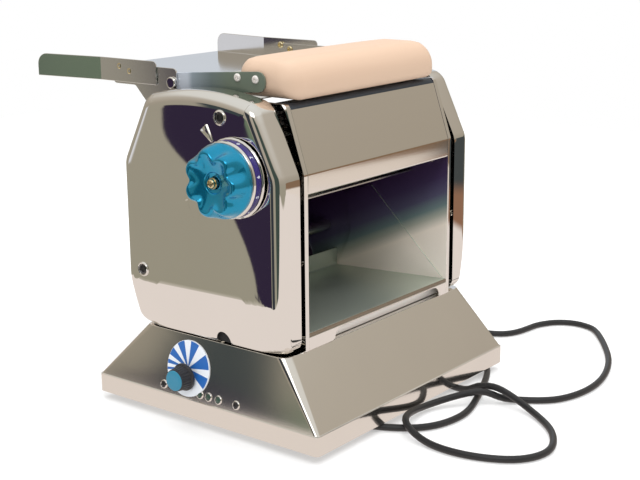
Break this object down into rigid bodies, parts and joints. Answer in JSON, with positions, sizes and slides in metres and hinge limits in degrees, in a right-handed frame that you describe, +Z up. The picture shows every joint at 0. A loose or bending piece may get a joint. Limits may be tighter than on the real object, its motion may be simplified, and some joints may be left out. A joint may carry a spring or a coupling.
{
  "type": "electric pasta maker",
  "caption": "Table-top electric pasta maker: polished housing with geared rollers, thickness knob, wooden guard, feed tray and a sloped motor base with a speed dial.",
  "frame": {"origin": "centre of the machine's footprint (knob to right side, front rim to the tray's rear edge) on the standing surface, cord and plug left out", "axes": "+Z up; +Y runs from the outlet at the front to the feed tray at the rear; X runs along the rollers, with the thickness knob on the -X side"},
  "size_m": [0.5081, 0.5682, 0.336],
  "materials": {
    "beech": "oiled pale beech",
    "black_plastic": "black moulded",
    "blue_cap": "blue insert",
    "blue_knob": "bright blue anodised, glossy",
    "board_green": "circuit board laminate",
    "bronze": "turned and milled bearing bronze",
    "cast_alloy": "as-cast alloy",
    "cord_rubber": "black cable rubber",
    "dial_violet": "violet-blue anodised, satin",
    "dial_white": "white printed dial",
    "gear_steel": "oiled gear steel",
    "motor_paint": "dark enamel",
    "polished_steel": "mirror polished stainless steel",
    "rubber": "black rubber",
    "satin_steel": "satin stainless steel sheet",
    "zinc_steel": "zinc-plated steel"
  },
  "bodies": {
    "machine": {"adjuster_bridge": "zinc_steel", "base_housing": "satin_steel", "base_plate": "zinc_steel", "control_board": "board_green", "feed_tray": "polished_steel", "foot_front_left": "rubber", "foot_front_right": "rubber", "foot_rear_left": "rubber", "foot_rear_right": "rubber", "frame_plate_left": "polished_steel", "frame_plate_right": "polished_steel", "front_apron": "polished_steel", "gearbox": "cast_alloy", "lower_idler_stud": "zinc_steel", "lower_tie_rod": "zinc_steel", "motor": "motor_paint", "outlet_chute": "polished_steel", "pivot_bolt_left": "polished_steel", "pivot_bolt_right": "polished_steel", "potentiometer": "cast_alloy", "power_cord": "cord_rubber", "power_plug": "cord_rubber", "rear_bush_left": "bronze", "rear_bush_right": "bronze", "rear_panel": "satin_steel", "rear_scraper": "zinc_steel", "side_cover_left": "polished_steel", "side_cover_right": "polished_steel", "speed_dial": "dial_white", "strain_relief": "cord_rubber", "tray_bracket_left": "polished_steel", "tray_bracket_right": "polished_steel", "trim_ring": "polished_steel", "upper_front_panel": "satin_steel", "upper_idler_stud": "zinc_steel", "upper_tie_rod": "zinc_steel"},
    "roller_carriage": {"bearing_block_left": "bronze", "bearing_block_right": "bronze", "front_scraper": "zinc_steel"},
    "front_roller": {"front_roller": "polished_steel", "front_roller_gear": "gear_steel"},
    "rear_roller": {"rear_roller": "polished_steel", "rear_roller_gear": "gear_steel"},
    "upper_idler": {"upper_idler_gear": "gear_steel"},
    "lower_idler": {"lower_idler_gear": "gear_steel"},
    "motor_pinion": {"motor_pinion": "gear_steel"},
    "adjuster": {"adjuster_shaft": "zinc_steel", "adjuster_gear": "gear_steel", "knob_screw": "polished_steel"},
    "knob": {"adjuster_knob": "blue_knob", "dial_ring": "dial_violet"},
    "cross_shaft": {"cross_shaft": "zinc_steel", "cross_gear": "gear_steel", "cam_left": "zinc_steel", "cam_right": "zinc_steel"},
    "speed_knob": {"speed_knob": "black_plastic", "speed_knob_cap": "blue_cap"},
    "guard": {"guard_bar": "beech", "guard_arm_left": "polished_steel", "guard_arm_right": "polished_steel"}
  },
  "joints": [
    {"name": "knob_turn", "type": "hinge", "parent": "machine", "child": "adjuster", "pos_m": [-0.09988, -0.09095, 0.2385], "axis": [1, 0, 0], "range_deg": [0, 270]},
    {"name": "knob_pull", "type": "slide", "parent": "adjuster", "child": "knob", "axis": [-1, 0, 0], "range_m": [0, 0.004], "stiffness_N_per_m": 400},
    {"name": "cross_shaft_turn", "type": "hinge", "parent": "machine", "child": "cross_shaft", "pos_m": [0.01512, -0.09095, 0.2745], "axis": [1, 0, 0], "range_deg": [-270, 0]},
    {"name": "gap_slide", "type": "slide", "parent": "machine", "child": "roller_carriage", "axis": [0, -1, 0], "range_m": [0, 0.005]},
    {"name": "rear_roller_spin", "type": "hinge", "parent": "machine", "child": "rear_roller", "pos_m": [0.01512, -0.03035, 0.2385], "axis": [1, 0, 0], "continuous": true},
    {"name": "front_roller_spin", "type": "hinge", "parent": "roller_carriage", "child": "front_roller", "pos_m": [0.01512, -0.09095, 0.2385], "axis": [1, 0, 0], "continuous": true},
    {"name": "upper_idler_spin", "type": "hinge", "parent": "machine", "child": "upper_idler", "pos_m": [0.01512, -0.03035, 0.17487], "axis": [1, 0, 0], "continuous": true},
    {"name": "lower_idler_spin", "type": "hinge", "parent": "machine", "child": "lower_idler", "pos_m": [0.01512, -0.03035, 0.10821], "axis": [1, 0, 0], "continuous": true},
    {"name": "pinion_spin", "type": "hinge", "parent": "machine", "child": "motor_pinion", "pos_m": [0.01512, -0.03035, 0.05215], "axis": [1, 0, 0], "continuous": true},
    {"name": "speed_knob_turn", "type": "hinge", "parent": "machine", "child": "speed_knob", "pos_m": [-0.13787, -0.02595, 0.0465], "axis": [1, 0, 0], "range_deg": [0, 270]},
    {"name": "guard_lift", "type": "hinge", "parent": "machine", "child": "guard", "pos_m": [0.01512, 0.01135, 0.3085], "axis": [-1, 0, 0], "range_deg": [0, 95]}
  ],
  "couplings": [
    {"joint": "knob_turn", "follows": "gap_slide", "rad_per_m": 942.48},
    {"joint": "cross_shaft_turn", "follows": "gap_slide", "rad_per_m": -942.48},
    {"joint": "front_roller_spin", "follows": "rear_roller_spin", "ratio": -1},
    {"joint": "upper_idler_spin", "follows": "rear_roller_spin", "ratio": -0.90909},
    {"joint": "lower_idler_spin", "follows": "rear_roller_spin", "ratio": 0.90909},
    {"joint": "pinion_spin", "follows": "rear_roller_spin", "ratio": -1.3333}
  ]
}
